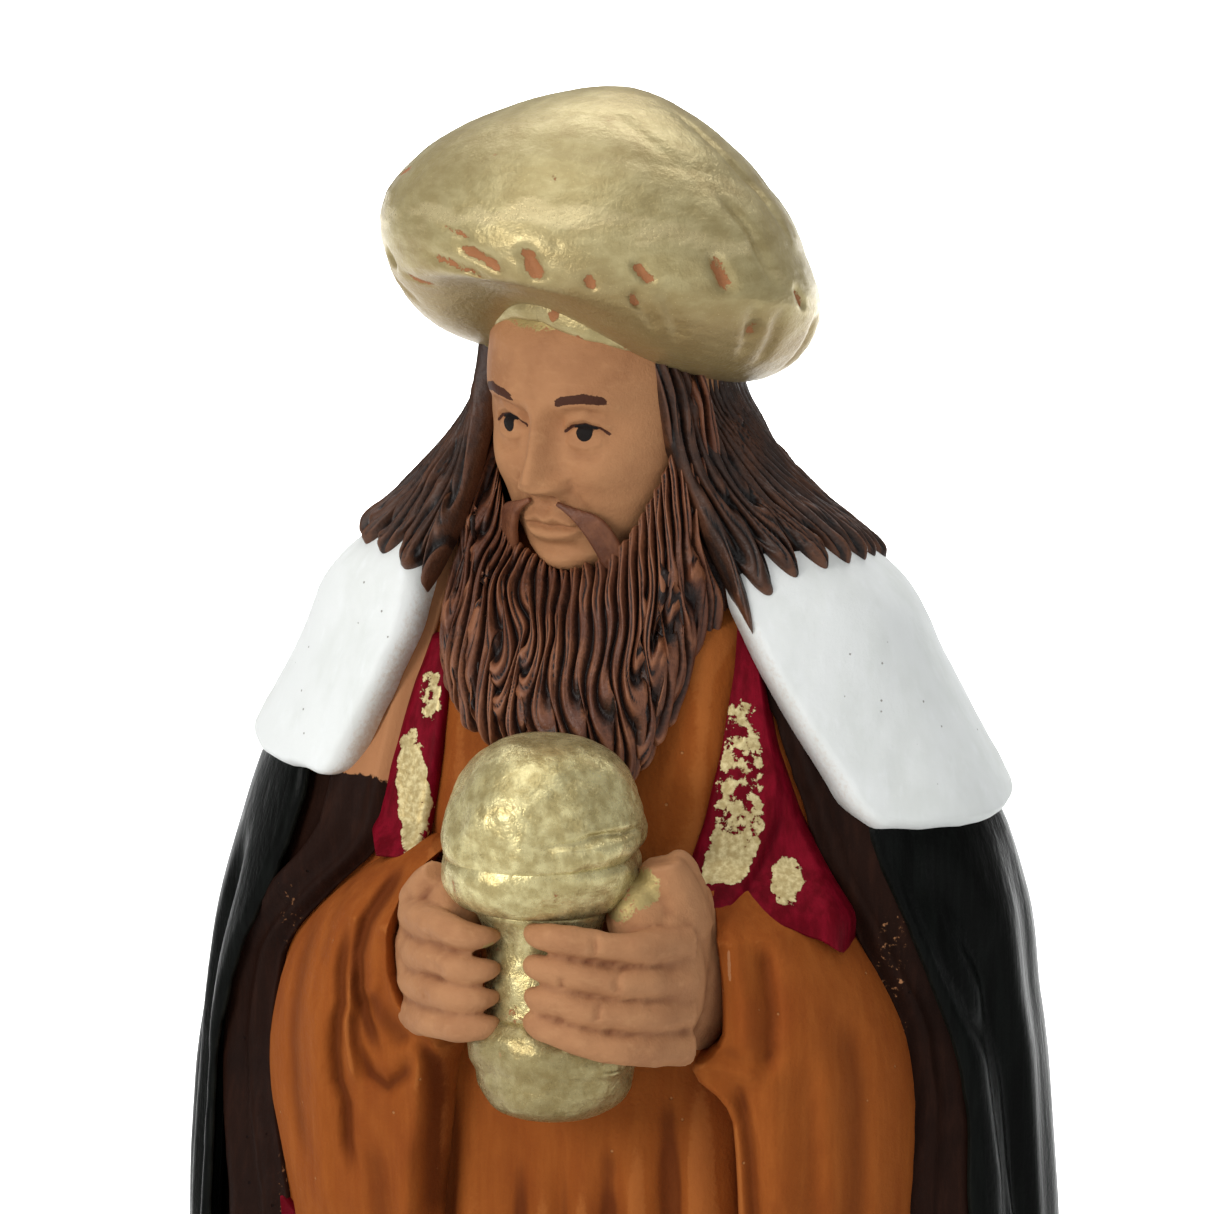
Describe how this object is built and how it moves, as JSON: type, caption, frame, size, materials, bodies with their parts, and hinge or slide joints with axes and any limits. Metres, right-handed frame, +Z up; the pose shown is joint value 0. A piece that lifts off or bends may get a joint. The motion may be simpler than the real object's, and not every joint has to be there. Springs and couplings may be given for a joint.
{
  "type": "nativity figurine",
  "caption": "Hand-painted solid-cast crib figure of a standing robed king in a gold turban, holding a covered gold cup, on a low plinth.",
  "frame": {"origin": "middle of the plinth's flat underside", "axes": "+Z up through the figure; the figure faces -Y and its left hand is towards +X"},
  "size_m": [0.086, 0.0677, 0.2016],
  "materials": {
    "olive_plinth": "matt",
    "ochre_robe": "satin",
    "crimson_coat": "satin",
    "brown_lining": "satin",
    "black_cloak": "gloss",
    "white_cape": "matt",
    "clay_skin": "matt",
    "brown_hair": "satin",
    "brown_beard": "satin",
    "gold_turban": "satin",
    "gold_cup": "satin",
    "brown_leather": "satin"
  },
  "bodies": {
    "root": {"plinth": "olive_plinth", "right_shoe": "brown_leather", "left_shoe": "brown_leather", "robe": "ochre_robe", "right_lapel": "crimson_coat", "left_lapel": "crimson_coat", "right_coat_panel": "crimson_coat", "left_coat_panel": "crimson_coat", "right_sleeve": "ochre_robe", "left_sleeve": "ochre_robe", "right_hand": "clay_skin", "left_hand": "clay_skin", "cup_foot": "gold_cup", "cup_stem": "gold_cup", "cup_bowl": "gold_cup", "cup_lid": "gold_cup", "cloak_lining": "brown_lining", "cloak": "black_cloak", "shoulder_cape": "white_cape", "head": "clay_skin", "turban_band": "gold_turban", "turban": "gold_turban", "beard": "brown_beard", "moustache": "brown_beard", "hair": "brown_hair"}
  },
  "joints": []
}
